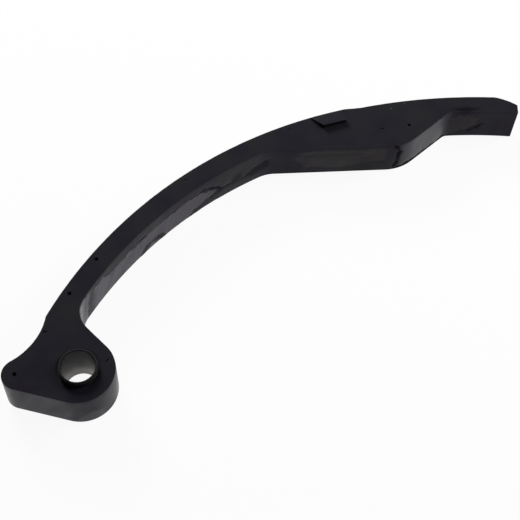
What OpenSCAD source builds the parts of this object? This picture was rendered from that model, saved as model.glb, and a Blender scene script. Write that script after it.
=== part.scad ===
// Timing chain guide: a curved moulded arm that swings on a steel bush.
// The pivot axis is the Z axis, the lower side face lies on Z = 0 and
// the X axis runs from the pivot towards the tip. The chain runs over the
// convex face on the +Y side, and the tensioner bears on the pad below it.

/* [Guide arm] */
// Width of the guide, across the chain
guide_width = 12.5; // [9:0.5:18]
// Thickness of the arm, from the chain face to the inner face
arm_thickness = 7; // [5:0.5:9]
// Radius of the chain face along the arm
chain_radius = 144; // [138:1:150]
// Crown of the chain face, from the pivot towards the tip
crown_along = 75.7; // [73:0.1:79]
// Crown of the chain face, from the pivot across the guide
crown_across = 41.2; // [39:0.1:44]
// Where the chain face begins above the neck, in degrees before the crown
chain_start = 31.2; // [29:0.1:33]

/* [Pivot eye] */
// Radius of the eye round the pivot
eye_radius = 10.6; // [9:0.1:12]
// Radius of the heel beside the eye
heel_radius = 4.9; // [3.5:0.1:6]
// Distance from the pivot to the centre of the heel
heel_reach = 16.9; // [14:0.1:19]
// Direction of the heel, in degrees round the pivot from the X axis
heel_angle = 150.2; // [146:0.1:155]
// Radius of the hollow neck between the heel and the chain face
neck_radius = 20; // [18:0.1:30]
// Lean of the eye's flank below the throat, in degrees
flank_lean = 9.2; // [5:0.1:14]
// Radius of the throat between the eye and the inner face
throat_radius = 8.7; // [6:0.1:11]

/* [Tensioner pad] */
// Where the pad leaves the inner face, in degrees past the crown
pad_start = 6.45; // [4:0.05:9]
// Slope of the pad's face, in degrees
pad_slope = 31.7; // [29:0.1:34]
// Length of the pad's face up to its corner
pad_length = 45.5; // [40:0.5:48]
// Radius of the pad's corner
pad_corner_radius = 15; // [5:0.5:18]
// Radius of the hollow where the pad leaves the arm
pad_root_radius = 12; // [4:0.5:25]
// Slope of the ramp from the pad's corner back to the blade, in degrees
ramp_slope = 6.9; // [2:0.1:12]
// Radius of the hollow where the ramp meets the blade
ramp_root_radius = 4; // [2:0.5:8]

/* [Tip blade] */
// Thickness of the blade
blade_thickness = 6.6; // [5:0.1:8]
// Radius of the chain face along the blade
blade_radius = 167.3; // [160:0.1:175]
// Drop of the chain face from the arm to the blade
blade_drop = 0.85; // [0.2:0.05:1.5]
// Direction in which both chain faces run parallel, in degrees past the crown
blade_tilt = 14.9; // [13:0.1:17]
// Where the drop begins, in degrees past the crown
drop_start = 19.2; // [19:0.1:21]
// Length of the slope over the drop
drop_run = 5.4; // [3:0.1:8]
// End of the blade, in degrees round the centre of its own chain face
blade_end = 39; // [37:0.1:41]
// Length of the bevel on the blade's nose, along the chain face
nose_length = 6; // [2:0.1:9]
// Depth of the bevel on the blade's nose, into the end face
nose_depth = 3.1; // [1:0.1:4]

/* [Pivot bush] */
// Diameter of the bore for the pivot bolt
bore_diameter = 10; // [8:0.1:12]
// Wall of the steel bush
bush_wall = 0.65; // [0.5:0.05:1.5]
// How far the bush stands out of the upper side face
bush_proud = 2; // [0.5:0.1:3]
// Bevel at the upper mouth of the bore
bore_bevel = 0.25; // [0.1:0.05:0.4]
// Width of the groove round the bush
groove_width = 0.9; // [0.4:0.1:1.5]
// Depth of the groove round the bush
groove_depth = 0.3; // [0.1:0.1:1]

/* [Side lug] */
// Distance of the lug from the drop to the blade
lug_setback = 1.5; // [0.5:0.1:3]
// Length of the lug along the chain face
lug_length = 11.1; // [8:0.1:14]
// Slant of the lug's end on the pivot's side, along the chain face
lug_slant = 2.7; // [1:0.1:5]
// Reach of the lug from the chain face towards the inner face
lug_reach = 5.7; // [3:0.1:6.5]
// Height of the lug at its inner edge
lug_height = 1.5; // [0.6:0.1:2]
// Height of the lug at the chain face
lug_low_height = 0.4; // [0.1:0.1:0.5]

/* [Mould pin marks] */
// Diameter of a pin mark
mark_diameter = 1.1; // [0.6:0.1:1.6]
// Depth of a pin mark
mark_depth = 0.6; // [0.3:0.1:1]
// Distance of the marks on the arm from the chain face
mark_inset = 2.3; // [1.5:0.1:3]
// Distance of the heel's mark beyond the heel's centre
heel_mark_offset = 1.1; // [0:0.1:2]
// Distance of the marks on the pad from the chain face
pad_mark_inset = 10.6; // [8:0.1:12]

/* [Hidden] */
$fn = 96;

// Marks along the arm, in degrees past the crown
arm_marks = [-33.2, -27.3, -21.6, -5.3, 10.7];
// Marks on the pad, in degrees round the centre of the blade's chain face
pad_marks = [21.9, 25.3];

// Length by which cutting shapes run past the faces that they cut
past = 1;
// Depth by which an arc runs past a face or an arc that it is tangent to
graze = 0.02;

// Unit vector at an angle past the crown, clockwise from the Y axis
function past_crown(a) = [sin(a), cos(a)];
// Angle past the crown at which a point is seen from a centre
function turn_of(centre, p) = atan2(p[0] - centre[0], p[1] - centre[1]);
// Unit vector from one point to another
function toward(p, q) = (q - p) / norm(q - p);
// Unit vector a quarter turn to the left of another
function left_of(u) = [-u[1], u[0]];
// Angle in degrees that a length along a circle spans
function arc_angle(length, radius) = length / radius * 180 / PI;

// Point at distance r1 from c1 and r2 from c2, left of the way from c1 to c2
function crossing(c1, r1, c2, r2) =
    let (
        span = norm(c2 - c1),
        along = (span ^ 2 + r1 ^ 2 - r2 ^ 2) / (2 * span),
        u = toward(c1, c2)
    )
    c1 + along * u + sqrt(r1 ^ 2 - along ^ 2) * left_of(u);

// Centre of a hollow's circle of radius r. It touches the line through p
// on the side of its normal n, and the circle of radius big round c from
// inside. Of the two such centres, it is the one ahead of p along the line
// for side 1 and behind it for side -1.
function hollow_centre(p, n, c, big, r, side) =
    let (
        u = left_of(n),
        q = p + r * n - c,
        half = q * u,
        s = -half + side * sqrt(half ^ 2 - q * q + (big - r) ^ 2)
    )
    p + r * n + s * u;

// Arm
inner_radius = chain_radius - arm_thickness;
arm_middle = chain_radius - arm_thickness / 2;
arc_centre = [crown_along, crown_across - chain_radius];

// Eye, heel, neck and throat
pivot = [0, 0];
heel_way = [cos(heel_angle), sin(heel_angle)];
heel = heel_reach * heel_way;
heel_flank_turn = heel_angle + acos((eye_radius - heel_radius) / heel_reach);
heel_flank_normal = [cos(heel_flank_turn), sin(heel_flank_turn)];
neck_at_arm = arc_centre + chain_radius * past_crown(-chain_start);
neck = crossing(heel, heel_radius + neck_radius, neck_at_arm, neck_radius);
flank_normal = [cos(flank_lean), sin(flank_lean)];
flank_at_eye = (eye_radius - graze) * flank_normal;
throat = hollow_centre(flank_at_eye, flank_normal, arc_centre, inner_radius, throat_radius, 1);

// Blade at the tip and the slope down to it
blade_centre = arc_centre
    + (chain_radius - blade_drop - blade_radius) * past_crown(blade_tilt);
blade_inner_radius = blade_radius - blade_thickness;
blade_middle = blade_radius - blade_thickness / 2;
drop_top = arc_centre + chain_radius * past_crown(drop_start);
drop_top_turn = turn_of(blade_centre, drop_top);
drop_foot = blade_centre
    + blade_radius * past_crown(drop_top_turn + arc_angle(drop_run, blade_radius));

// Pad, its corner and the ramp back to the blade
pad_foot = arc_centre + inner_radius * past_crown(pad_start);
pad_along = [cos(pad_slope), -sin(pad_slope)];
pad_normal = [-sin(pad_slope), -cos(pad_slope)];
pad_corner = pad_foot + pad_length * pad_along;
ramp_along = [cos(ramp_slope), sin(ramp_slope)];
ramp_normal = [sin(ramp_slope), -cos(ramp_slope)];
corner_run = pad_corner_radius * tan((pad_slope + ramp_slope) / 2);
corner_on_pad = pad_corner - corner_run * pad_along;
corner_on_ramp = pad_corner + corner_run * ramp_along;
corner_centre = corner_on_pad - pad_corner_radius * pad_normal;
pad_root = hollow_centre(pad_foot, pad_normal, arc_centre, inner_radius, pad_root_radius, -1);
ramp_root = hollow_centre(pad_corner, ramp_normal, blade_centre, blade_inner_radius, ramp_root_radius, 1);
ramp_end = ramp_root - ramp_root_radius * (ramp_normal - ramp_along);

bush_radius = bore_diameter / 2 + bush_wall;
bush_length = guide_width + bush_proud;
lug_end = drop_start - arc_angle(lug_setback, chain_radius);
lug_start = lug_end - arc_angle(lug_length, chain_radius);

// Band between two radii round a centre, from one angle past the crown to another
module band(centre, outer, inner, from, to) {
    edge = outer / cos((to - from) / 4) + past;
    middle = (from + to) / 2;
    translate(centre)
        intersection() {
            difference() {
                circle(outer);
                circle(inner);
            }
            polygon([
                [0, 0],
                edge * past_crown(from),
                edge * past_crown(middle),
                edge * past_crown(to)
            ]);
        }
}

// Strip of some height along the left of the line from p to q, running past both ends
module strip(p, q, height) {
    along = toward(p, q);
    out = height * left_of(along);
    begin = p - past * along;
    finish = q + 2 * past * along;
    polygon([begin, finish, finish + out, begin + out]);
}

// Web that fills the corner between two faces up to the circle of a hollow.
// The ways lead from the hollow's centre to where its circle meets each face.
module hollow_web(centre, radius, first_way, second_way, depth) {
    difference() {
        polygon([
            centre,
            centre + (radius + depth) * first_way,
            centre + (radius + depth) * second_way
        ]);
        translate(centre) circle(radius + graze);
    }
}

// Eye and heel, and the web that joins them to the arm
module eye_outline() {
    circle(eye_radius);
    translate(heel) circle(heel_radius);
    polygon([
        pivot,
        heel,
        heel + (heel_radius - graze) * heel_flank_normal,
        (eye_radius - graze) * heel_flank_normal
    ]);
    difference() {
        polygon([
            pivot,
            flank_at_eye,
            throat - throat_radius * flank_normal,
            throat,
            arc_centre + arm_middle * past_crown(turn_of(arc_centre, throat)),
            arc_centre + arm_middle * past_crown(-chain_start),
            neck,
            heel
        ]);
        translate(throat) circle(throat_radius + graze);
    }
}

// Arm, from the neck to the foot of the slope down to the blade
module arm_outline() {
    arm_end = turn_of(arc_centre, drop_foot) + arc_angle(past, chain_radius);
    difference() {
        band(arc_centre, chain_radius, inner_radius, turn_of(arc_centre, neck), arm_end);
        strip(drop_top, drop_foot, blade_drop + 2 * past);
    }
}

// Pad under the arm: its flat face, round corner and ramp
module pad_outline() {
    difference() {
        polygon([
            pad_foot,
            pad_corner,
            ramp_end,
            blade_centre + blade_middle * past_crown(turn_of(blade_centre, ramp_root)),
            blade_centre + blade_middle * past_crown(drop_top_turn),
            arc_centre + arm_middle * past_crown(drop_start),
            arc_centre + arm_middle * past_crown(pad_start)
        ]);
        difference() {
            polygon([
                corner_centre,
                corner_on_pad + past * pad_normal,
                pad_corner + past * (pad_normal + ramp_normal),
                corner_on_ramp + past * ramp_normal
            ]);
            translate(corner_centre) circle(pad_corner_radius + graze);
        }
    }
}

// Blade at the tip, with its bevelled nose
module blade_outline() {
    nose_turn = blade_end - arc_angle(nose_length, blade_radius);
    nose_back = blade_centre + blade_radius * past_crown(nose_turn);
    nose_edge = blade_centre + (blade_radius - nose_depth) * past_crown(blade_end);
    difference() {
        band(blade_centre, blade_radius, blade_inner_radius, drop_top_turn, blade_end);
        strip(nose_back, nose_edge, nose_depth + past);
    }
}

// Whole side view of the guide
module guide_outline() {
    difference() {
        union() {
            eye_outline();
            arm_outline();
        }
        translate(neck) circle(neck_radius + graze);
    }
    pad_outline();
    blade_outline();
    hollow_web(
        pad_root, pad_root_radius,
        toward(arc_centre, pad_root), -pad_normal, arm_thickness / 2
    );
    hollow_web(
        ramp_root, ramp_root_radius,
        toward(blade_centre, ramp_root), -ramp_normal, blade_thickness / 2
    );
}

// Plan of the lug, longest at the chain face
module lug_outline() {
    lug_inner_radius = chain_radius - lug_reach;
    near_out = arc_centre + chain_radius * past_crown(lug_start);
    near_in = arc_centre
        + lug_inner_radius * past_crown(lug_start + arc_angle(lug_slant, chain_radius));
    difference() {
        band(arc_centre, chain_radius, lug_inner_radius, lug_start, lug_end);
        polygon([
            near_out + past * toward(near_in, near_out),
            near_in + past * toward(near_out, near_in),
            arc_centre + (lug_inner_radius - past) * past_crown(lug_start)
        ]);
    }
}

// Lug on the upper side face, sloping down to the chain face
module side_lug() {
    fall = atan((lug_height - lug_low_height) / lug_reach);
    middle = (lug_start + lug_end) / 2;
    sunk = past / 2;
    intersection() {
        translate([0, 0, guide_width - sunk])
            linear_extrude(sunk + lug_height + past) lug_outline();
        translate([arc_centre[0], arc_centre[1], 0])
            rotate([0, 0, -middle])
                translate([0, chain_radius - lug_reach, guide_width + lug_height])
                    rotate([-fall, 0, 0])
                        translate([-lug_length, -lug_reach, -guide_width])
                            cube([2 * lug_length, 3 * lug_reach, guide_width]);
    }
}

// Small round marks that the mould's pins leave in the upper side face
module pin_marks() {
    places = concat(
        [heel + heel_mark_offset * heel_way],
        [for (a = arm_marks) arc_centre + (chain_radius - mark_inset) * past_crown(a)],
        [for (a = pad_marks) blade_centre + (blade_radius - pad_mark_inset) * past_crown(a)]
    );
    for (p = places)
        translate([p[0], p[1], guide_width - mark_depth])
            cylinder(h = mark_depth + past, d = mark_diameter);
}

// Moulded guide, with the seat of the bush and the groove round it
module guide_body() {
    color("#232226")
        difference() {
            union() {
                linear_extrude(guide_width) guide_outline();
                side_lug();
            }
            translate([0, 0, -past])
                cylinder(h = guide_width + 2 * past, r = bush_radius);
            translate([0, 0, guide_width - groove_depth])
                cylinder(h = groove_depth + past, r = bush_radius + groove_width);
            pin_marks();
        }
}

// Steel bush, cut from tube with a small bevel at the upper mouth of its bore
module pivot_bush() {
    bore_radius = bore_diameter / 2;
    color("#5c5a57")
        rotate_extrude()
            polygon([
                [bore_radius, 0],
                [bush_radius, 0],
                [bush_radius, bush_length],
                [bore_radius + bore_bevel, bush_length],
                [bore_radius, bush_length - bore_bevel]
            ]);
}

guide_body();
pivot_bush();
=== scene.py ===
import bmesh
import bpy
import numpy as np
from mathutils import Matrix, Vector
from mathutils.geometry import delaunay_2d_cdt


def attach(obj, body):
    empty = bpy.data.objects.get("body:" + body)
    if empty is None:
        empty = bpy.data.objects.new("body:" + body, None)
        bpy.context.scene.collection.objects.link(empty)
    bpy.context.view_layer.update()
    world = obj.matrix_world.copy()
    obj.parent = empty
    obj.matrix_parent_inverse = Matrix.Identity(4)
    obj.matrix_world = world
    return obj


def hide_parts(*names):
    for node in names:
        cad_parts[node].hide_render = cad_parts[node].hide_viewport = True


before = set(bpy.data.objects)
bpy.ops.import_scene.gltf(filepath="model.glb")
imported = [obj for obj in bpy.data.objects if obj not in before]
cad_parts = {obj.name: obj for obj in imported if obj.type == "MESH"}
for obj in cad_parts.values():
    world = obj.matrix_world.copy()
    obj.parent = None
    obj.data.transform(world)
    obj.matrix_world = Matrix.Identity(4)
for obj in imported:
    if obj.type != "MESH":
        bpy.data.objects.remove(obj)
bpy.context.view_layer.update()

# Timing chain guide: a curved arm of moulded black rubber that swings on a steel bush.
# The pivot axis is the Z axis, the lower side face lies on Z = 0, the chain face looks
# towards +Y and the tip lies towards +X. Sizes are in millimetres and angles in degrees.
MM = 0.001

# Arm: where the crown of its chain face lies, and how far before the crown that face starts
GUIDE_WIDTH = 12.5
ARM_THICKNESS = 7.0
CHAIN_RADIUS = 144.0
CROWN_ALONG = 75.7
CROWN_ACROSS = 41.2
CHAIN_START = 31.2

# Eye, heel, hollow neck and throat, with the angles of heel and flank from the X axis
EYE_RADIUS = 10.6
HEEL_RADIUS = 4.9
HEEL_REACH = 16.9
HEEL_ANGLE = 150.2
NECK_RADIUS = 20.0
FLANK_LEAN = 9.2
THROAT_RADIUS = 8.7

# Tensioner pad, which starts at an angle past the crown, and the ramp behind it
PAD_START = 6.45
PAD_SLOPE = 31.7
PAD_LENGTH = 45.5
PAD_CORNER_RADIUS = 15.0
PAD_ROOT_RADIUS = 12.0
RAMP_SLOPE = 6.9
RAMP_ROOT_RADIUS = 4.0

# Tip blade, which lies a little below the arm's arc, and its nose
BLADE_THICKNESS = 6.6
BLADE_RADIUS = 167.3
BLADE_DROP = 0.85
BLADE_TILT = 14.9
DROP_START = 19.2
DROP_RUN = 5.4
BLADE_END = 39.0
NOSE_LENGTH = 7.6
NOSE_DEPTH = 3.1
NOSE_BULGE = 0.42

# Bush, the angle from which on its edges stay sharp, and the groove round it
BORE_RADIUS = 5.0
BUSH_RADIUS = 5.65
BUSH_PROUD = 2.0
BORE_MOUTH = 0.15
BUSH_EDGE = 0.4
SHARP_ANGLE = 35.0
GROOVE_WIDTH = 0.9
GROOVE_DEPTH = 0.3
GROOVE_EDGE = 0.3

# How far the bore is rubbed bare, by depth below the mouth; kept low near the mouth, it also paints
# the shade under the mouth
BORE_BARE_AND_SHADE = ((0.0, 0.02), (2.4, 0.03), (5.0, 0.06), (7.0, 0.12), (9.5, 0.36), (12.0, 1.0))

# Lug on the upper side face, and how much its top is soiled
LUG_SETBACK = 1.5
LUG_LENGTH = 11.1
LUG_SLANT = 2.7
LUG_REACH = 5.7
LUG_FROM_EDGE = 0.3
LUG_HEIGHT = 1.5
LUG_LOW_HEIGHT = 0.25
LUG_EDGE = 0.2
LUG_SOIL = 0.5

# Marks of the mould's pins. The foot of a mark's wall and its flat floor are shares of its radius
# and depth, and the marks of the arm and the pad have an angle past the crown and a depth each.
MARK_RADIUS = 0.62
MARK_EDGE = 0.1
MARK_FOOT = 0.97
MARK_FOOT_DEPTH = 0.9
MARK_FLOOR = 0.8
MARK_INSET = 2.3
HEEL_MARK_OFFSET = 1.1
HEEL_MARK_DEPTH = 0.6
PAD_MARK_INSET = 10.6
ARM_MARKS = ((-33.2, 0.2), (-27.3, 0.6), (-21.6, 0.5), (-5.3, 0.12), (10.7, 0.12))
PAD_MARKS = ((21.9, 0.2), (25.3, 0.4))

# Nick in the eye's side face: its middle, length, width, depth and angle, and its rings as shares of
# its half sizes
NICK_PLACE = (8.05, -2.18)
NICK_LENGTH = 1.7
NICK_WIDTH = 0.5
NICK_DEPTH = 0.3
NICK_ANGLE = 10.0
NICK_RINGS = (1.0, 0.8, 0.0)

# Moulded edges: their radius, the softness of corners in the side view, and the inset at which an edge
# is fully scuffed
EDGE_RADIUS = 0.15
CORNER_SOFTNESS = 0.12
SCUFF_INSET = 0.05

# How far the edge of the upper side face wanders, as trimmed rubber does, how far down the wall that
# goes, and the length and share of each of its waves
EDGE_WANDER = 0.025
EDGE_WANDER_DEPTH = 1.5
EDGE_WAVES = ((9.0, 0.35), (5.3, 0.3), (3.1, 0.25), (2.0, 0.2), (1.3, 0.15))
EDGE_SEED = 3

# Spacing of points along the outline while it is worked out, and on the finished wall
PATH_STEP = 0.1
WALL_STEP = 0.34

# Rows and steps of the grids
WALL_ROWS = 46
EDGE_ROWS = 5
ROUND_STEPS = 96
BORE_ROWS = 24
MOUTH_ROWS = 7
MARK_STEPS = 40
SEAT_ROWS = 9

# Distance in metres within which the points of a piece are welded, and, for a flat face, the distance
# in millimetres and the number that asks for triangles inside the outer loop
WELD = 1e-6
FILL_WELD = 1e-7
FILL_INSIDE = 1

# Wear of the wall: depth of the rubbed patches, width of their slope, how far from a border the layers
# still count, and width of the soft border of a touched patch
RUB_SINK = 0.06
RUB_EASE = 0.6
RUB_REACH = 3.0
TOUCH_EASE = 1.5

# Patches of the wall: corners of their borders, as path length from the start of the arm's inner
# face and height above the lower side face.
# Buffed patches are smooth and grey: the long strip on the arm, which ends in a point, and narrow ones
# under it
BUFFED = (
    ((-6, -1.0), (27, -1.0), (29, 2.4), (33, 3.4), (37, 2.6), (39, -1.0), (47, -1.0), (51, 1.8),
     (57, 3.4), (61, 5.2), (57.5, 7.2), (54, 8.7), (49, 9.3), (40, 8.8), (30, 8.4), (13, 8.4),
     (10, 10.4), (2, 11.6), (-6, 13.5)),
    ((28, -1.5), (38, -1.5), (36, 1.6), (33, 2.4), (30, 1.4)),
    ((49, -1.5), (62, -1.5), (60, 1.2), (54, 0.8)),
)
# Stained patches are dull and tan: where the tensioner bears on the pad, and at the root of the blade
STAINED = (
    ((87.4, 7.0), (91, 10.6), (95, 11.6), (113, 11.2), (119.6, 11.2), (119.6, 4.6), (115, 4.2),
     (111, 3.2), (104, 1.6), (93, 2.4)),
    ((147.3, 1.6), (150, 0.9), (153.5, 2.6), (156.4, 5.2), (158, 8.2), (155.5, 10.4), (150, 10.8),
     (147.3, 9.0)),
)
# Grime and painted shade are dull and black, with a strength for each patch: painted shade on the
# corner of the pad and under the upper border of the strip, only darker over the throat and the foot
# of the ramp, and grime elsewhere
GRIME_AND_SHADE = (
    # Darker over the throat
    (0.5, ((-0.5, -1.0), (0.6, 7.0), (2.6, 12.5), (5.6, 12.5), (4.2, 5.0), (4.2, -1.0))),
    # Painted shade under the stepped upper border of the strip
    (0.8, ((25, 8.8), (27, 9.9), (30, 9.5), (30, 8.4), (27.5, 8.0))),
    (0.6, ((33, 9.2), (40, 9.7), (47, 10.0), (47, 9.2), (40, 8.9), (33, 8.6))),
    # Over and under the point of the strip
    (0.9, ((52, 9.6), (55, 10.0), (58.8, 8.6), (61.8, 6.6), (63.2, 4.6), (61.5, 3.8), (59.3, 5.8),
           (56.3, 7.8), (54, 8.8))),
    (0.8, ((55, 3.2), (58, 4.2), (60.5, 5.0), (62.5, 5.0), (62.5, 3.6), (59, 2.8), (56, 2.4))),
    # Line and smear beyond the point
    (0.9, ((62, 4.6), (64, 5.4), (67, 5.8), (67.4, 4.6), (64.6, 4.0), (62.6, 3.8))),
    (0.75, ((69.6, 4.2), (73, 6.4), (77, 8.2), (80.6, 8.6), (81.2, 6.4), (78.4, 3.8), (74, 2.6))),
    # Stain on the pad
    (0.4, ((89.5, 9.2), (93, 8.5), (108, 8.6), (113, 9.2), (108, 9.7), (93, 9.8))),
    (0.5, ((110.4, 2.0), (110.8, 8.0), (114.6, 8.4), (114.8, 2.0))),
    # Painted shade on the rounded corner of the pad
    (1.0, ((121.0, 12.8), (122.3, 10.5), (122.7, 7.5), (122.3, 4.0), (121.4, 1.0), (123.0, 1.0),
           (124.4, 4.2), (124.9, 8.0), (124.3, 11.0), (122.9, 13.0))),
    # Under the stain on the blade
    (1.0, ((153.2, 2.6), (155.4, 4.8), (158.2, 7.4), (159.8, 6.6), (157.6, 3.8), (154.8, 2.0))),
    # Darker along the foot of the ramp
    (1.0, ((122, 0.9), (127, -0.8), (144, -0.8), (148.5, 0.8), (144, 1.6), (135, 1.7), (127, 2.1))),
)
# Touched patches are smoother, or below 0 duller, than the wall round them: low on the arm beyond the
# strip, between line and smear, in the stain on the pad, and low on the eye
TOUCHED = (
    (0.06, ((58, -1.5), (60, 2.6), (70, 2.8), (81, 4.4), (84, -1.5))),
    (-0.2, ((65.5, 4.0), (66.5, 7.4), (69.5, 7.6), (70.4, 4.2), (68, 3.4))),
    (0.12, ((91, 2.4), (94, 6.4), (106, 6.4), (109, 3.0), (104, 0.5))),
    (0.24, ((406, -1.5), (408.8, 3.2), (412, 5.6), (415.2, 3.6), (416.4, -1.5))),
)
# How smooth the wall is along the same path, where it isn't rubbed: best on the eye and the ramp
SHINE = (
    (-11, 0.8), (0, 0.8), (14, 0.66), (30, 0.62), (60, 0.6), (76, 0.58), (82, 0.6), (88, 0.53),
    (119, 0.52), (123.5, 0.5), (125.4, 0.98), (143, 0.95), (149, 0.5), (160, 0.55), (182, 0.54),
    (360, 0.5), (376, 0.75), (386, 0.9), (392, 0.8), (404, 0.78), (407, 0.68), (413, 0.68), (416, 0.74),
    (420, 0.8), (424, 0.9), (430, 0.9), (441, 0.8),
)
# How smooth the side faces and the buffed patches are
SIDE_SHINE = 0.14
WORN_SHINE = 0.95

# Soft dark spot on the upper side face at the blade's edge, and pale flecks on the upper side face:
# middle, half sizes along, across and up, and angle. A spot is full within a share of its half sizes.
DARK_SPOTS = (((156.8, 9.8, 12.5), (7.0, 1.7, 2.2), -33.0),)
FLECKS = (((136.1, 24.6, 12.5), (0.45, 0.4, 1.0), 0.0), ((141.3, 23.6, 12.5), (0.35, 0.3, 1.0), 0.0))
SPOT_FULL = 0.3

# Patterns of the rubber: sizes of the mottling, of the tears in the borders of patches, of the gaps in
# the dark lines, of the smears, of the specks on edges and of the grain
MOTTLE_SIZE = 12.0
TEAR_SIZE = 2.6
TEAR_SWING = 1.7
GAP_SIZE = 5.0
SMEAR_LENGTH = 12.0
SMEAR_WIDTH = 3.5
SMEAR_ANGLE = 62.0
SPECK_SIZE = 0.7
GRAIN_SIZE = 0.35
GRAIN_DEPTH = 0.05
GRIME_AND_SHADE_DEPTH = 0.15

# How strong the dark lines of painted shade round the buffed patches and the colour of the stains are
LINE_SHARE = 0.75
STAIN_SHARE = 0.4

# Index of refraction that gives the rubber's wall its faint reflections
RUBBER_IOR = 1.3

# Patterns of the steel: size of the film's clouds, step and depth of the tool marks, and the radians of
# a sine that a Wave node draws for each unit
FILM_SIZE = 3.5
RING_STEP = 0.79
RING_DEPTH = 0.03
WAVE_RADIANS = 20.0

# How much the black film on the steel reflects, where 0.5 is usual
FILM_SPECULAR = 0.21

# Studio sweep: its radius, the height of its wall, the radius of the cove between floor and wall, the
# gap under the guide, and how far the camera and reflections see plain white instead of the lit card
SWEEP_RADIUS = 2000.0
SWEEP_HEIGHT = 500.0
COVE_RADIUS = 250.0
COVE_ROWS = 13
FLOOR_GAP = 0.05
WHITE_SHARE = 0.93

# Square lamps: name, place, width and power in watts, and the strength of the room's even light
SOFT_BOXES = (
    ("back_box", (160, 780, 410), 330, 8.0),
    ("right_box", (620, -160, 430), 350, 3.6),
)
ROOM_LIGHT = 0.05

# Camera of the photograph: where it stands, the compass direction it looks in from the X axis,
# how far it looks down and how far it is rolled
CAMERA_PLACE = (-51.0, -140.4, 292.8)
CAMERA_HEADING = 50.741
CAMERA_PITCH = 57.0
CAMERA_ROLL = -3.868
CAMERA_LENS = 76.04
CAMERA_SENSOR = 36.0

# Numbers of a colour Mix node's sockets
MIX_SHARE, MIX_A, MIX_B, MIX_RESULT = 0, 6, 7, 2


def past_crown(angle):
    """Unit vector at an angle past the crown, clockwise from the Y axis."""
    return np.array([np.sin(np.radians(angle)), np.cos(np.radians(angle))])


def heading(angle):
    """Unit vector at an angle from the X axis, anticlockwise."""
    return np.array([np.cos(np.radians(angle)), np.sin(np.radians(angle))])


def turn_of(centre, point):
    """Angle past the crown at which a point is seen from a centre."""
    return np.degrees(np.arctan2(*(point - centre)))


def toward(start, end):
    """Unit vector from one point to another."""
    return (end - start) / np.linalg.norm(end - start)


def left_of(way):
    """Unit vector a quarter turn to the left of another."""
    return np.array([-way[1], way[0]])


def crossing(first, first_radius, second, second_radius):
    """Point at given distances from two centres, left of the way from the first to the second."""
    span = np.linalg.norm(second - first)
    along = (span**2 + first_radius**2 - second_radius**2) / (2 * span)
    way = toward(first, second)
    return first + along * way + np.sqrt(first_radius**2 - along**2) * left_of(way)


def hollow_centre(point, normal, centre, big, radius, side):
    """Centre of a hollow's circle: it touches a line on its normal's side and a big circle from inside."""
    way = left_of(normal)
    offset = point + radius * normal - centre
    half = offset @ way
    ahead = -half + side * np.sqrt(half**2 - offset @ offset + (big - radius) ** 2)
    return point + radius * normal + ahead * way


def arc(centre, start, end):
    """Points round a centre from start up to end, by the shorter way, at the path's step."""
    radius = np.linalg.norm(start - centre)
    first = np.arctan2(*(start - centre)[::-1])
    last = np.arctan2(*(end - centre)[::-1])
    turn = (last - first + np.pi) % (2 * np.pi) - np.pi
    count = int(np.ceil(abs(turn) * radius / PATH_STEP))
    angle = first + turn * np.arange(count) / count
    return centre + radius * np.column_stack([np.cos(angle), np.sin(angle)])


def bulged(start, end, bulge):
    """Points on the flat arc from start up to end that rises above its chord on the right by the bulge."""
    half = np.linalg.norm(end - start) / 2
    radius = (half**2 + bulge**2) / (2 * bulge)
    return arc((start + end) / 2 + (radius - bulge) * left_of(toward(start, end)), start, end)


def line(start, end):
    """Points on a straight line from start up to end, at the path's step."""
    count = int(np.ceil(np.linalg.norm(end - start) / PATH_STEP))
    return start + np.outer(np.arange(count) / count, end - start)


def closed_path(stretches):
    """Joins the stretches of a closed outline: its points, their path lengths and those of the joints."""
    points = np.concatenate(stretches)
    steps = np.linalg.norm(np.roll(points, -1, axis=0) - points, axis=1)
    lengths = np.concatenate([[0.0], np.cumsum(steps)])
    joints = lengths[np.cumsum([0] + [len(stretch) for stretch in stretches])]
    return points, lengths[:-1], joints


def soft_path(points, lengths, joints):
    """Path lengths, points and outward normals at about the wall's step, with the first one repeated.

    Every joint of the outline is among them. The outline is convolved with a bell curve, which rounds
    its corners. That is done on its Fourier series, where it is a multiplication, and the series also
    gives the tangent.
    """
    whole = joints[-1]
    dense = int(whole / PATH_STEP)
    even = np.arange(dense) * whole / dense
    flat = points[:, 0] + 1j * points[:, 1]
    series = np.fft.fft(np.interp(even, lengths, flat, period=whole))
    waves = 2 * np.pi * np.fft.fftfreq(dense, whole / dense)
    series = series * np.exp(-0.5 * (waves * CORNER_SOFTNESS) ** 2)
    place = np.fft.ifft(series)
    tangent = np.fft.ifft(1j * waves * series)
    spans = [np.linspace(start, end, int(np.ceil((end - start) / WALL_STEP)), endpoint=False)
             for start, end in zip(joints[:-1], joints[1:])]
    wanted = np.concatenate([*spans, [whole]])
    place = np.interp(wanted, even, place, period=whole)
    tangent = np.interp(wanted, even, tangent, period=whole)
    normal = -1j * tangent / np.abs(tangent)
    return wanted, np.column_stack([place.real, place.imag]), np.column_stack([normal.real, normal.imag])


def wander(length, whole):
    """Smooth uneven line between about -1 and 1: a sum of sines of path length with seeded phases."""
    spans, shares = np.array(EDGE_WAVES).T
    waves = np.round(whole / spans)
    phases = np.random.default_rng(EDGE_SEED).uniform(0, 2 * np.pi, waves.size)
    return np.sin(2 * np.pi * np.outer(length / whole, waves) + phases) @ shares


def smooth_step(value):
    """Eased step from 0 to 1 as the value goes from 0 to 1."""
    share = np.clip(value, 0, 1)
    return share * share * (3 - 2 * share)


def grid_faces(rows, columns):
    """Corner numbers of the four-sided faces of a grid of points that is stored row by row."""
    number = np.arange(rows * columns).reshape(rows, columns)
    corners = [number[:-1, :-1], number[1:, :-1], number[1:, 1:], number[:-1, 1:]]
    return np.stack(corners, axis=-1).reshape(-1, 4)


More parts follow.
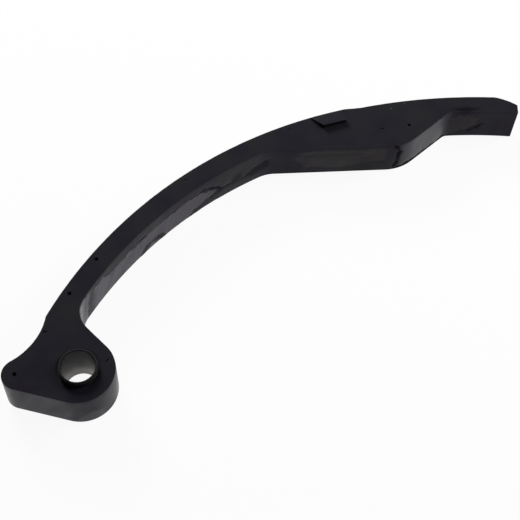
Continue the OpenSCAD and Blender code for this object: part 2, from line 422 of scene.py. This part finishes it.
def edge_round(radius, steps):
    """Quarter circle of a rounded edge: how far each point lies inside the wall and below the top."""
    angle = np.linspace(0, np.pi / 2, steps)
    return radius * (1 - np.sin(angle)), radius * (1 - np.cos(angle))


def inside(points, loop):
    """Which points lie inside a closed loop, by counting the crossings of a ray along X."""
    x, y = points[:, :1], points[:, 1:]
    ax, ay = loop.T
    bx, by = np.roll(loop, -1, axis=0).T
    spans = (ay > y) != (by > y)
    reach = ax + (y - ay) * (bx - ax) / np.where(by == ay, 1.0, by - ay)
    return (spans & (x < reach)).sum(axis=1) % 2 == 1


def flat_fill(outer, holes, height, upward):
    """Flat face between an outer loop and the loops of its holes, as triangles of their own points."""
    loops = [outer, *holes]
    points = np.concatenate(loops)
    starts = np.cumsum([0] + [len(loop) for loop in loops])
    edges = np.concatenate(
        [start + np.column_stack([np.arange(len(loop)), np.roll(np.arange(len(loop)), -1)])
         for start, loop in zip(starts, loops)]
    )
    filled = delaunay_2d_cdt(points.tolist(), edges.tolist(), [], FILL_INSIDE, FILL_WELD)
    places = np.array(filled[0])
    faces = np.array(filled[2])
    middles = places[faces].mean(axis=1)
    for hole in holes:
        outside = ~inside(middles, hole)
        faces = faces[outside]
        middles = middles[outside]
    if not upward:
        faces = faces[:, ::-1]
    return np.column_stack([places, np.full(len(places), height)]), faces


def revolved(centre, radii, heights, steps):
    """A profile of radii and heights carried round an upright axis, as a grid of steps + 1 columns."""
    angle = np.linspace(0, 2 * np.pi, steps + 1)
    angle[-1] = 0.0
    x = centre[0] + np.outer(radii, np.cos(angle))
    y = centre[1] + np.outer(radii, np.sin(angle))
    z = np.repeat(np.asarray(heights)[:, None], steps + 1, axis=1)
    return np.stack([x, y, z], axis=-1).reshape(-1, 3), grid_faces(len(radii), steps + 1)


class Skin:
    """Collects patches of one piece and puts them into one welded mesh.

    The layers are named values of the surface, which the material reads, with what they are elsewhere.
    """

    def __init__(self, **layers):
        self.points = []
        self.faces = []
        self.smooth = []
        self.wall = []
        self.elsewhere = layers
        self.layers = {name: [] for name in layers}
        self.count = 0

    def patch(self, points, faces, smooth=True, wall=None, **layers):
        """Adds a patch: its points, faces, wall coordinates and the values of its surface layers."""
        size = len(points)
        self.points.append(points)
        self.faces.append(faces + self.count)
        self.smooth.append(np.full(len(faces), smooth))
        self.wall.append(points[:, :2] if wall is None else wall)
        for name, values in self.layers.items():
            values.append(np.broadcast_to(layers.get(name, self.elsewhere[name]), size))
        self.count += size

    def piece(self, name, material):
        """Makes the object: fills the mesh, welds the seams and turns all faces outwards."""
        mesh = bpy.data.meshes.new(name)
        faces = [face for block in self.faces for face in block.tolist()]
        mesh.from_pydata(np.concatenate(self.points) * MM, [], faces)
        corners = np.concatenate([block.ravel() for block in self.faces])
        wall = np.concatenate(self.wall)[corners] * MM
        mesh.uv_layers.new(name="wall").data.foreach_set("uv", wall.ravel())
        for layer, values in self.layers.items():
            spread = mesh.attributes.new(layer, "FLOAT", "CORNER")
            spread.data.foreach_set("value", np.concatenate(values)[corners].astype(np.float32))
        mesh.polygons.foreach_set("use_smooth", np.concatenate(self.smooth))
        shell = bmesh.new()
        shell.from_mesh(mesh)
        bmesh.ops.remove_doubles(shell, verts=shell.verts, dist=WELD)
        bmesh.ops.recalc_face_normals(shell, faces=shell.faces)
        shell.to_mesh(mesh)
        shell.free()
        mesh.materials.append(material)
        made = bpy.data.objects.new(name, mesh)
        bpy.context.scene.collection.objects.link(made)
        return made


# Centres and meeting points of the outline: eye, heel, neck and throat
arc_centre = np.array([CROWN_ALONG, CROWN_ACROSS - CHAIN_RADIUS])
inner_radius = CHAIN_RADIUS - ARM_THICKNESS
pivot = np.zeros(2)
heel = HEEL_REACH * heading(HEEL_ANGLE)
heel_side = heading(HEEL_ANGLE + np.degrees(np.arccos((EYE_RADIUS - HEEL_RADIUS) / HEEL_REACH)))
neck_at_arm = arc_centre + CHAIN_RADIUS * past_crown(-CHAIN_START)
neck = crossing(heel, HEEL_RADIUS + NECK_RADIUS, neck_at_arm, NECK_RADIUS)
neck_at_heel = heel + HEEL_RADIUS * toward(heel, neck)
flank = heading(FLANK_LEAN)
throat = hollow_centre(EYE_RADIUS * flank, flank, arc_centre, inner_radius, THROAT_RADIUS, 1)
throat_at_flank = throat - THROAT_RADIUS * flank
throat_at_arm = throat + THROAT_RADIUS * toward(arc_centre, throat)

# Tip blade
blade_inner_radius = BLADE_RADIUS - BLADE_THICKNESS
blade_centre = arc_centre + (CHAIN_RADIUS - BLADE_DROP - BLADE_RADIUS) * past_crown(BLADE_TILT)
drop_top = arc_centre + CHAIN_RADIUS * past_crown(DROP_START)
drop_foot_turn = turn_of(blade_centre, drop_top) + np.degrees(DROP_RUN / BLADE_RADIUS)
drop_foot = blade_centre + BLADE_RADIUS * past_crown(drop_foot_turn)
nose_back_turn = BLADE_END - np.degrees(NOSE_LENGTH / BLADE_RADIUS)
nose_back = blade_centre + BLADE_RADIUS * past_crown(nose_back_turn)
nose_edge = blade_centre + (BLADE_RADIUS - NOSE_DEPTH) * past_crown(BLADE_END)
blade_corner = blade_centre + blade_inner_radius * past_crown(BLADE_END)

# Pad and ramp
pad_foot = arc_centre + inner_radius * past_crown(PAD_START)
pad_along = heading(-PAD_SLOPE)
pad_normal = -left_of(pad_along)
pad_tip = pad_foot + PAD_LENGTH * pad_along
ramp_along = heading(RAMP_SLOPE)
ramp_normal = -left_of(ramp_along)
corner_run = PAD_CORNER_RADIUS * np.tan(np.radians((PAD_SLOPE + RAMP_SLOPE) / 2))
corner_on_pad = pad_tip - corner_run * pad_along
corner_centre = corner_on_pad - PAD_CORNER_RADIUS * pad_normal
corner_on_ramp = corner_centre + PAD_CORNER_RADIUS * ramp_normal
pad_root = hollow_centre(pad_foot, pad_normal, arc_centre, inner_radius, PAD_ROOT_RADIUS, -1)
pad_root_at_arm = pad_root + PAD_ROOT_RADIUS * toward(arc_centre, pad_root)
pad_root_at_pad = pad_root - PAD_ROOT_RADIUS * pad_normal
ramp_root = hollow_centre(pad_tip, ramp_normal, blade_centre, blade_inner_radius, RAMP_ROOT_RADIUS, 1)
ramp_root_at_ramp = ramp_root - RAMP_ROOT_RADIUS * ramp_normal
ramp_root_at_blade = ramp_root + RAMP_ROOT_RADIUS * toward(blade_centre, ramp_root)

# Stretches of the outline in order, from the throat along the inner side to the tip and back
# along the chain face, the neck, the heel and the eye
stretches = {
    "throat": arc(throat, throat_at_flank, throat_at_arm),
    "arm_inner": arc(arc_centre, throat_at_arm, pad_root_at_arm),
    "pad_root": arc(pad_root, pad_root_at_arm, pad_root_at_pad),
    "pad": line(pad_root_at_pad, corner_on_pad),
    "pad_corner": arc(corner_centre, corner_on_pad, corner_on_ramp),
    "ramp": line(corner_on_ramp, ramp_root_at_ramp),
    "ramp_root": arc(ramp_root, ramp_root_at_ramp, ramp_root_at_blade),
    "blade_inner": arc(blade_centre, ramp_root_at_blade, blade_corner),
    "blade_end": line(blade_corner, nose_edge),
    "nose": bulged(nose_edge, nose_back, NOSE_BULGE),
    "blade_chain": arc(blade_centre, nose_back, drop_foot),
    "drop": line(drop_foot, drop_top),
    "arm_chain": arc(arc_centre, drop_top, neck_at_arm),
    "neck": arc(neck, neck_at_arm, neck_at_heel),
    "heel": arc(heel, neck_at_heel, heel + HEEL_RADIUS * heel_side),
    "heel_side": line(heel + HEEL_RADIUS * heel_side, EYE_RADIUS * heel_side),
    "eye": arc(pivot, EYE_RADIUS * heel_side, EYE_RADIUS * flank),
    "flank": line(EYE_RADIUS * flank, throat_at_flank),
}
outline = closed_path(list(stretches.values()))
begins = dict(zip(stretches, outline[2]))


def patch_depth(places, border):
    """How far inside a patch places lie: the distance to its border's nearest side, below 0 outside."""
    corners = np.array(border)
    sides = np.roll(corners, -1, axis=0) - corners
    offsets = places[:, None] - corners
    share = np.clip((offsets * sides).sum(axis=-1) / (sides * sides).sum(axis=-1), 0, 1)
    gaps = np.linalg.norm(offsets - share[..., None] * sides, axis=-1).min(axis=1)
    return np.where(inside(places, corners), gaps, -gaps)


def patches_depth(places, borders):
    """How far inside the nearest of several patches places lie, up to a reach, and which patch it is."""
    depths = np.array([patch_depth(places, border) for border in borders])
    return np.clip(depths.max(axis=0), -RUB_REACH, RUB_REACH), depths.argmax(axis=0)


def wall_skin(skin):
    """Wall of the guide: a section with round edges carried along the outline.

    Each point is the outline's point, less its outward normal times the section's inset, at the
    section's height. The rubbed patches lie a little deeper, and the upper edge wanders.
    """
    length, place, normal = soft_path(*outline)
    inset, drop = edge_round(EDGE_RADIUS, EDGE_ROWS)
    straight = np.linspace(GUIDE_WIDTH - EDGE_RADIUS, EDGE_RADIUS, WALL_ROWS)[1:-1]
    section_inset = np.concatenate([inset, np.zeros(straight.size), inset[::-1]])
    section_height = np.concatenate([GUIDE_WIDTH - drop, straight, drop[::-1]])
    along, height = np.meshgrid(length - begins["arm_inner"], section_height)
    places = np.column_stack([along.ravel(), height.ravel()])
    buffed, _ = patches_depth(places, BUFFED)
    stained, _ = patches_depth(places, STAINED)
    grime, soiled = patches_depth(places, [border for _, border in GRIME_AND_SHADE])
    strengths = np.array([strength for strength, _ in GRIME_AND_SHADE])
    shine = np.interp(places[:, 0], *np.array(SHINE).T)
    for change, border in TOUCHED:
        shine += change * smooth_step(patch_depth(places, border) / TOUCH_EASE + 0.5)
    rub = np.maximum(buffed, stained)
    near_top = smooth_step(1 - (GUIDE_WIDTH - height) / EDGE_WANDER_DEPTH)
    uneven = EDGE_WANDER * (1 - wander(length, length[-1]))[None, :] * near_top
    worn = RUB_SINK * smooth_step(rub / RUB_EASE).reshape(along.shape)
    sink = section_inset[:, None] + uneven + worn
    flat = place[None] - sink[..., None] * normal[None]
    points = np.concatenate([flat, height[..., None]], axis=-1)
    edge = np.clip(section_inset / SCUFF_INSET, 0, 1)
    skin.patch(
        points.reshape(-1, 3),
        grid_faces(len(section_height), len(length)),
        wall=places,
        rub=rub,
        grime=grime,
        soil=strengths[soiled],
        tan=stained > buffed,
        shine=shine,
        edge=np.repeat(edge, len(length)),
    )
    return points[0, :-1, :2], points[-1, :-1, :2]


def pin_mark(skin, centre, depth):
    """One pin mark: a shallow cup with a slightly rounded rim, revolved round its own axis."""
    inset, drop = edge_round(min(MARK_EDGE, depth / 2), EDGE_ROWS)
    radii = np.concatenate([MARK_RADIUS + inset, [MARK_RADIUS * MARK_FOOT, MARK_RADIUS * MARK_FLOOR, 0.0]])
    depths = np.concatenate([drop, [depth * MARK_FOOT_DEPTH, depth, depth]])
    points, faces = revolved(centre, radii, GUIDE_WIDTH - depths, MARK_STEPS)
    skin.patch(points, faces)
    return points[:MARK_STEPS, :2]


def nick(skin):
    """The nick: a cup whose depth falls by the fourth power of the distance, drawn out along one axis."""
    rings = np.array(NICK_RINGS)
    points, faces = revolved(pivot, rings, GUIDE_WIDTH - NICK_DEPTH * (1 - rings**4), MARK_STEPS)
    along = heading(NICK_ANGLE)
    stretch = np.array([NICK_LENGTH / 2 * along, NICK_WIDTH / 2 * left_of(along)])
    points[:, :2] = NICK_PLACE + points[:, :2] @ stretch
    skin.patch(points, faces)
    return points[:MARK_STEPS, :2]


def bush_seat(skin):
    """Groove round the bush, which dips to it in an eased curve, and the hole that the bush fills."""
    share = np.linspace(0, 1, SEAT_ROWS)
    radii = np.concatenate([BUSH_RADIUS + (GROOVE_WIDTH + GROOVE_EDGE) * (1 - share), [BUSH_RADIUS]])
    heights = np.concatenate([GUIDE_WIDTH - GROOVE_DEPTH * smooth_step(share), [0.0]])
    points, faces = revolved(pivot, radii, heights, ROUND_STEPS)
    skin.patch(points, faces)
    return points[:ROUND_STEPS, :2], points[-ROUND_STEPS - 1:-1, :2]


def lug_rise(flat):
    """Height of the lug above the side face: a straight slope over the distance from the chain face."""
    depth = CHAIN_RADIUS - np.linalg.norm(flat - arc_centre, axis=-1)
    return LUG_LOW_HEIGHT + (LUG_HEIGHT - LUG_LOW_HEIGHT) * depth / LUG_REACH


def lug_skin(skin):
    """Lug: a section with a round upper edge carried round its plan, and a sloping top.

    Below the rounding, each point lies a share of the way down from the sloping top to the side face.
    """
    lug_end = DROP_START - np.degrees(LUG_SETBACK / CHAIN_RADIUS)
    lug_start = lug_end - np.degrees(LUG_LENGTH / CHAIN_RADIUS)
    slant = np.degrees(LUG_SLANT / CHAIN_RADIUS)
    outer = CHAIN_RADIUS - LUG_FROM_EDGE
    inner = CHAIN_RADIUS - LUG_REACH
    near_in = arc_centre + inner * past_crown(lug_start + slant)
    far_in = arc_centre + inner * past_crown(lug_end)
    far_out = arc_centre + outer * past_crown(lug_end)
    near_out = arc_centre + outer * past_crown(lug_start)
    plan = closed_path([
        arc(arc_centre, near_in, far_in),
        line(far_in, far_out),
        arc(arc_centre, far_out, near_out),
        line(near_out, near_in),
    ])
    length, place, normal = soft_path(*plan)
    inset, drop = edge_round(LUG_EDGE, EDGE_ROWS)
    section_inset = np.concatenate([inset, [0.0, 0.0]])
    below = np.concatenate([drop, [LUG_EDGE, LUG_EDGE]])[:, None]
    share = np.concatenate([np.zeros(EDGE_ROWS), [0.5, 1.0]])[:, None]
    flat = place[None] - section_inset[:, None, None] * normal[None]
    top = GUIDE_WIDTH + lug_rise(flat)
    height = (top - below) * (1 - share) + GUIDE_WIDTH * share
    points = np.concatenate([flat, height[..., None]], axis=-1)
    skin.patch(points.reshape(-1, 3), grid_faces(len(section_inset), len(length)))
    lid, faces = flat_fill(points[0, :-1, :2], [], 0.0, True)
    lid[:, 2] = GUIDE_WIDTH + lug_rise(lid[:, :2])
    skin.patch(lid, faces, smooth=False, grime=0.0, soil=LUG_SOIL)
    return points[-1, :-1, :2]


def guide_arm(material):
    """The moulded guide: wall, seat of the bush, pin marks, lug and both flat side faces, as one skin."""
    skin = Skin(rub=-RUB_REACH, grime=-RUB_REACH, soil=0.0, tan=0.0, shine=SIDE_SHINE, edge=0.0)
    upper, lower = wall_skin(skin)
    groove_rim, seat_rim = bush_seat(skin)
    rims = [pin_mark(skin, heel + HEEL_MARK_OFFSET * heading(HEEL_ANGLE), HEEL_MARK_DEPTH)]
    for turn, depth in ARM_MARKS:
        middle = arc_centre + (CHAIN_RADIUS - MARK_INSET) * past_crown(turn)
        rims.append(pin_mark(skin, middle, depth))
    for turn, depth in PAD_MARKS:
        middle = blade_centre + (BLADE_RADIUS - PAD_MARK_INSET) * past_crown(turn)
        rims.append(pin_mark(skin, middle, depth))
    rims.append(nick(skin))
    lug_foot = lug_skin(skin)
    skin.patch(*flat_fill(upper, [groove_rim, lug_foot, *rims], GUIDE_WIDTH, True), smooth=False)
    skin.patch(*flat_fill(lower, [seat_rim], 0.0, False), smooth=False)
    return skin.piece("guide_arm", material)


def steel_bush(material):
    """The bush: a tube's section with a rounded mouth and rim, revolved round the pivot axis."""
    top = GUIDE_WIDTH + BUSH_PROUD
    rim_inset, rim_drop = edge_round(BUSH_EDGE, EDGE_ROWS)
    mouth_inset, mouth_drop = edge_round(BORE_MOUTH, MOUTH_ROWS)
    bore_heights = np.linspace(0.0, top - BORE_MOUTH, BORE_ROWS)
    radii = np.concatenate([
        np.full(BORE_ROWS - 1, BORE_RADIUS),
        BORE_RADIUS + mouth_inset[::-1],
        BUSH_RADIUS - rim_inset,
        [BUSH_RADIUS, BORE_RADIUS],
    ])
    heights = np.concatenate([
        bore_heights[:-1],
        top - mouth_drop[::-1],
        top - rim_drop,
        [0.0, 0.0],
    ])
    points, faces = revolved(pivot, radii, heights, ROUND_STEPS)
    in_bore = np.hypot(*points.T[:2]) < BORE_RADIUS + BORE_MOUTH
    # Bare share of the bore by depth, kept low near the mouth as painted shade
    polished = np.interp(top - points[:, 2], *np.array(BORE_BARE_AND_SHADE).T) * in_bore
    skin = Skin(polish=0.0)
    skin.patch(points, faces, polish=polished)
    made = skin.piece("pivot_tube", material)
    made.data.set_sharp_from_angle(angle=np.radians(SHARP_ANGLE))
    return made


def linear(colour):
    """Linear RGBA of an sRGB colour written as a hex value."""
    srgb = np.array([int(colour[place:place + 2], 16) for place in (1, 3, 5)]) / 255
    light = np.where(srgb <= 0.04045, srgb / 12.92, ((srgb + 0.055) / 1.055) ** 2.4)
    return (*light.tolist(), 1.0)


def add(tree, kind, inputs=None, **settings):
    """Adds a node, sets its settings, and links or sets each of its inputs by name or number.

    A node given as an input stands for its first output.
    """
    node = tree.nodes.new("ShaderNode" + kind)
    for name, value in settings.items():
        setattr(node, name, value)
    for name, value in (inputs or {}).items():
        if isinstance(value, bpy.types.Node):
            value = value.outputs[0]
        if isinstance(value, bpy.types.NodeSocket):
            tree.links.new(value, node.inputs[name])
        else:
            node.inputs[name].default_value = value
    return node


def new_material(name):
    """An empty node material: gives the material and its tree."""
    material = bpy.data.materials.new(name)
    material.use_nodes = True
    material.node_tree.nodes.clear()
    return material, material.node_tree


def spots(tree, place, table):
    """Soft spots: full near their middles and gone at their half sizes, the strongest counting."""
    share = 0.0
    for middle, sizes, angle in table:
        seen = add(tree, "Mapping", {
            "Vector": place,
            "Location": [size * MM for size in middle],
            "Rotation": (0.0, 0.0, np.radians(angle)),
            "Scale": [size * MM for size in sizes],
        }, vector_type="TEXTURE")
        away = add(tree, "VectorMath", {0: seen}, operation="LENGTH").outputs["Value"]
        spot = add(tree, "MapRange", {"Value": away, "From Min": 1.0, "From Max": SPOT_FULL},
                   interpolation_type="SMOOTHSTEP")
        share = add(tree, "Math", {0: share, 1: spot}, operation="MAXIMUM")
    return share


def moulded_rubber():
    """Nitrile rubber, moulded and trimmed: near black, dull on the side faces and smoother on the wall.

    The eye sees a faint cool and warm mottling, a fine grain, slanted smears on the wall, greyer rubbed
    patches with a ragged border of painted shade, dark patches of grime and of painted shade, and pale
    specks on the sharp edges.
    """
    material, tree = new_material("moulded_nitrile_rubber")
    place = add(tree, "TexCoord").outputs["Object"]
    wall = add(tree, "UVMap", uv_map="wall")
    rub, grime, soil, tan, shine, edge = [
        add(tree, "Attribute", attribute_name=name).outputs["Fac"]
        for name in ("rub", "grime", "soil", "tan", "shine", "edge")
    ]
    grey_share = add(tree, "Math", {0: 1.0, 1: tan}, operation="SUBTRACT")

    # Mottling from cool to warm black
    mottle = add(tree, "TexNoise", {"Vector": place, "Scale": 1 / (MOTTLE_SIZE * MM), "Detail": 3.0})
    clouds = add(tree, "MapRange", {"Value": mottle, "From Min": 0.35, "From Max": 0.65})
    black = add(tree, "Mix", {
        MIX_SHARE: clouds, MIX_A: linear("#15131a"), MIX_B: linear("#161917"),
    }, data_type="RGBA")

    # Ragged borders of the patches: noise moves them by up to its swing, and mostly by less than half of it
    tear = add(tree, "TexNoise", {
        "Vector": wall, "Scale": 1 / (TEAR_SIZE * MM), "Detail": 6.0, "Roughness": 0.62,
    })
    shift = add(tree, "Math", {0: tear, 1: 2 * TEAR_SWING, 2: -TEAR_SWING}, operation="MULTIPLY_ADD")
    torn = add(tree, "Math", {0: rub, 1: shift}, operation="ADD")
    ease = add(tree, "MapRange", {"Value": tan, "To Min": 0.4, "To Max": 1.1})
    rubbed = add(tree, "MapRange", {"Value": torn, "From Max": ease})

    # Grime and painted shade: dark patches of both, a broken line of painted shade along the stepped
    # borders of the buffed patches, and the dark spot at the blade's edge
    ragged_grime_and_shade = add(tree, "Math", {0: grime, 1: shift}, operation="ADD")
    band = add(tree, "MapRange", {"Value": ragged_grime_and_shade, "From Min": -0.7, "From Max": 0.8, "To Max": soil})
    away = add(tree, "Math", {0: torn}, operation="ABSOLUTE")
    near = add(tree, "MapRange", {
        "Value": away, "From Min": 0.1, "From Max": 0.6, "To Min": 1.0, "To Max": 0.0,
    })
    gaps = add(tree, "TexNoise", {"Vector": wall, "Scale": 1 / (GAP_SIZE * MM), "Detail": 3.0})
    broken = add(tree, "MapRange", {"Value": gaps, "From Min": 0.38, "From Max": 0.52})
    lines = add(tree, "Math", {0: near, 1: broken}, operation="MULTIPLY")
    faint_share = add(tree, "Math", {0: grey_share, 1: LINE_SHARE}, operation="MULTIPLY")
    grey_lines = add(tree, "Math", {0: lines, 1: faint_share}, operation="MULTIPLY")
    dirt_and_shade = add(tree, "Math", {0: band, 1: grey_lines}, operation="MAXIMUM")
    border = add(tree, "Math", {0: dirt_and_shade, 1: spots(tree, place, DARK_SPOTS)}, operation="MAXIMUM")

    # Slanted smears across the wall
    drawn = add(tree, "Mapping", {
        "Vector": wall,
        "Rotation": (0.0, 0.0, np.radians(SMEAR_ANGLE)),
        "Scale": (SMEAR_LENGTH * MM, SMEAR_WIDTH * MM, 1.0),
    }, vector_type="TEXTURE")
    smears = add(tree, "TexNoise", {"Vector": drawn, "Scale": 1.0, "Detail": 4.0})
    streak = add(tree, "MapRange", {"Value": smears, "From Min": 0.34, "From Max": 0.66})

    # Worn rubber: grey in smears where it is buffed, and evenly tan where it is stained
    grey = add(tree, "Mix", {
        MIX_SHARE: tan, MIX_A: linear("#524e55"), MIX_B: linear("#4b4842"),
    }, data_type="RGBA")
    grey_streak = add(tree, "Math", {0: streak, 1: grey_share}, operation="MULTIPLY")
    laid = add(tree, "Math", {0: tan, 1: STAIN_SHARE, 2: grey_streak}, operation="MULTIPLY_ADD")
    worn_share = add(tree, "Math", {0: rubbed, 1: laid}, operation="MULTIPLY")
    worn = add(tree, "Mix", {
        MIX_SHARE: worn_share, MIX_A: black.outputs[MIX_RESULT], MIX_B: grey.outputs[MIX_RESULT],
    }, data_type="RGBA")
    # Near black where grime, painted shade and the dark spot lie
    lined = add(tree, "Mix", {
        MIX_SHARE: border, MIX_A: worn.outputs[MIX_RESULT], MIX_B: linear("#060607"),
    }, data_type="RGBA")

    # Pale specks where the edge is scuffed, and pale flecks
    speck = add(tree, "TexNoise", {"Vector": place, "Scale": 1 / (SPECK_SIZE * MM), "Detail": 2.0})
    scuff = add(tree, "MapRange", {"Value": speck, "From Min": 0.6, "From Max": 0.72, "To Min": 0.3})
    scuffed = add(tree, "Math", {0: scuff, 1: edge}, operation="MULTIPLY")
    pale = add(tree, "Math", {0: scuffed, 1: spots(tree, place, FLECKS)}, operation="MAXIMUM")
    colour = add(tree, "Mix", {
        MIX_SHARE: pale, MIX_A: lined.outputs[MIX_RESULT], MIX_B: linear("#48484a"),
    }, data_type="RGBA")

    # Smooth where the mould was polished and where it is buffed, uneven in the smears, dull elsewhere
    buffed = add(tree, "Math", {0: rubbed, 1: grey_share}, operation="MULTIPLY")
    buffed_shine = add(tree, "Math", {0: buffed, 1: WORN_SHINE}, operation="MULTIPLY")
    clouded = add(tree, "MapRange", {"Value": clouds, "To Min": -0.05, "To Max": 0.05})
    moulded = add(tree, "Math", {0: shine, 1: clouded}, operation="ADD")
    smooth = add(tree, "Math", {0: moulded, 1: buffed_shine}, operation="MAXIMUM")
    dull = add(tree, "MapRange", {"Value": smooth, "To Min": 0.95, "To Max": 0.3})
    swing = add(tree, "MapRange", {"Value": buffed, "To Min": 0.1, "To Max": 0.5})
    evened = add(tree, "Math", {0: streak, 1: 0.5}, operation="SUBTRACT")
    uneven = add(tree, "Math", {0: evened, 1: swing}, operation="MULTIPLY")
    patchy = add(tree, "Math", {0: uneven, 1: smooth, 2: dull}, operation="MULTIPLY_ADD")
    rough = add(tree, "Math", {0: patchy, 1: border}, operation="MAXIMUM")

    # Grain, drawn a little coarser than the real one so that it shows, and dark patches and lines of grime
    # and painted shade that lie deeper
    grain = add(tree, "TexNoise", {"Vector": place, "Scale": 1 / (GRAIN_SIZE * MM), "Detail": 3.0})
    bump = add(tree, "Bump", {"Height": grain, "Strength": 0.12, "Distance": GRAIN_DEPTH * MM})
    torn_edge = add(tree, "Bump", {
        "Height": border, "Normal": bump, "Strength": 1.0, "Distance": GRIME_AND_SHADE_DEPTH * MM,
    }, invert=True)
    shader = add(tree, "BsdfPrincipled", {
        "Base Color": colour.outputs[MIX_RESULT],
        "Roughness": rough,
        "Normal": torn_edge,
        "IOR": RUBBER_IOR,
        "Specular Tint": linear("#e6d8ff"),
    })
    add(tree, "OutputMaterial", {"Surface": shader})
    return material


def turned_steel():
    """Mild steel tube, turned and blackened: the bore is rubbed grey, with painted shade towards the mouth.

    The eye sees a dull black rim, fine rings of the tool and a brown film of old oil.
    """
    material, tree = new_material("blackened_steel")
    place = add(tree, "TexCoord").outputs["Object"]
    polish = add(tree, "Attribute", attribute_name="polish").outputs["Fac"]
    film = add(tree, "TexNoise", {"Vector": place, "Scale": 1 / (FILM_SIZE * MM), "Detail": 5.0})
    bare = add(tree, "Mix", {
        MIX_SHARE: film, MIX_A: linear("#6c6a67"), MIX_B: linear("#54514c"),
    }, data_type="RGBA")
    # Black film to bare steel by the bore's bare share, which also paints the shade towards the mouth
    colour = add(tree, "Mix", {
        MIX_SHARE: polish, MIX_A: linear("#1d1b1d"), MIX_B: bare.outputs[MIX_RESULT],
    }, data_type="RGBA")

    # The black film is dull and no metal, and it has worn through where the bore is rubbed
    metal = add(tree, "MapRange", {"Value": polish, "From Max": 0.02})
    film_rough = add(tree, "MapRange", {"Value": film, "To Min": 0.8, "To Max": 0.96})
    bare_rough = add(tree, "MapRange", {"Value": metal, "To Min": 0.0, "To Max": -0.34})
    dull = add(tree, "Math", {0: film_rough, 1: bare_rough}, operation="ADD")
    rough = add(tree, "Math", {0: polish, 1: -0.12, 2: dull}, operation="MULTIPLY_ADD")

    # Tool marks along the axis, drawn coarser than the real ones so that they show
    rings = add(tree, "TexWave", {
        "Vector": place,
        "Scale": 2 * np.pi / (WAVE_RADIANS * RING_STEP * MM),
        "Distortion": 1.5,
        "Detail": 2.0,
    }, bands_direction="Z")
    bump = add(tree, "Bump", {
        "Height": rings.outputs["Fac"], "Strength": 0.15, "Distance": RING_DEPTH * MM,
    })
    shader = add(tree, "BsdfPrincipled", {
        "Base Color": colour.outputs[MIX_RESULT],
        "Metallic": metal,
        "Roughness": rough,
        "Normal": bump,
        "Specular IOR Level": FILM_SPECULAR,
    })
    add(tree, "OutputMaterial", {"Surface": shader})
    return material


def white_sweep():
    """Matt white card: the camera and reflections see it nearly white, and it keeps a faint shadow."""
    material, tree = new_material("white_card")
    rays = add(tree, "LightPath").outputs
    seen = add(tree, "Math", {0: rays["Is Camera Ray"], 1: rays["Is Glossy Ray"]}, operation="MAXIMUM")
    shown = add(tree, "Math", {0: seen, 1: rays["Is Transmission Ray"]}, operation="MAXIMUM")
    share = add(tree, "Math", {0: shown, 1: WHITE_SHARE}, operation="MULTIPLY")
    matte = add(tree, "BsdfDiffuse", {"Color": linear("#f2f2f0")})
    glow = add(tree, "Emission", {"Color": linear("#ffffff"), "Strength": 1.0})
    mix = add(tree, "MixShader", {0: share, 1: matte, 2: glow})
    add(tree, "OutputMaterial", {"Surface": mix})
    return material


def studio_sweep():
    """White sweep: floor, quarter round of the cove and a low wall, revolved round the pivot axis."""
    inset, drop = edge_round(COVE_RADIUS, COVE_ROWS)
    radii = np.concatenate([[0.0], SWEEP_RADIUS - drop[::-1], [SWEEP_RADIUS]])
    heights = np.concatenate([[0.0], inset[::-1], [SWEEP_HEIGHT]]) - FLOOR_GAP
    skin = Skin()
    skin.patch(*revolved(pivot, radii, heights, ROUND_STEPS))
    skin.piece("studio_sweep", white_sweep())


def dim_room():
    """Room round the sweep: a little even light from above."""
    world = bpy.data.worlds.new("dim_room")
    bpy.context.scene.world = world
    world.use_nodes = True
    tree = world.node_tree
    tree.nodes.clear()
    glow = add(tree, "Background", {"Color": linear("#ffffff"), "Strength": ROOM_LIGHT})
    add(tree, "OutputWorld", {"Surface": glow})


def soft_box(name, place, size, power):
    """Square area lamp at a place, turned to the middle of the guide."""
    lamp = bpy.data.lights.new(name, "AREA")
    lamp.shape = "SQUARE"
    lamp.size = size * MM
    lamp.energy = power
    made = bpy.data.objects.new(name, lamp)
    aim = Vector((CROWN_ALONG * MM, 0.0, 0.0))
    made.location = Vector(place) * MM
    made.rotation_euler = (aim - made.location).to_track_quat("-Z", "Y").to_euler()
    bpy.context.scene.collection.objects.link(made)


def camera():
    """Camera turned by its heading, pitch and roll: its axes are right, up and back."""
    level = heading(CAMERA_HEADING)
    pitch = np.radians(CAMERA_PITCH)
    roll = np.radians(CAMERA_ROLL)
    ahead = np.array([*(level * np.cos(pitch)), -np.sin(pitch)])
    right = np.array([level[1], -level[0], 0.0])
    down = np.cross(ahead, right)
    rolled_right = np.cos(roll) * right + np.sin(roll) * down
    rolled_down = np.cos(roll) * down - np.sin(roll) * right
    lens = bpy.data.cameras.new("camera")
    lens.lens = CAMERA_LENS
    lens.sensor_width = CAMERA_SENSOR
    made = bpy.data.objects.new("camera", lens)
    turned = np.column_stack([rolled_right, -rolled_down, -ahead])
    made.matrix_world = Matrix.Translation(Vector(CAMERA_PLACE) * MM) @ Matrix(turned.tolist()).to_4x4()
    bpy.context.scene.collection.objects.link(made)
    bpy.context.scene.camera = made


guide = guide_arm(moulded_rubber())
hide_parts("guide_body")
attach(guide, "root")

bush = steel_bush(turned_steel())
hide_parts("pivot_bush")
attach(bush, "root")

studio_sweep()
dim_room()
for box in SOFT_BOXES:
    soft_box(*box)
camera()
bpy.context.scene.view_settings.view_transform = "Standard"
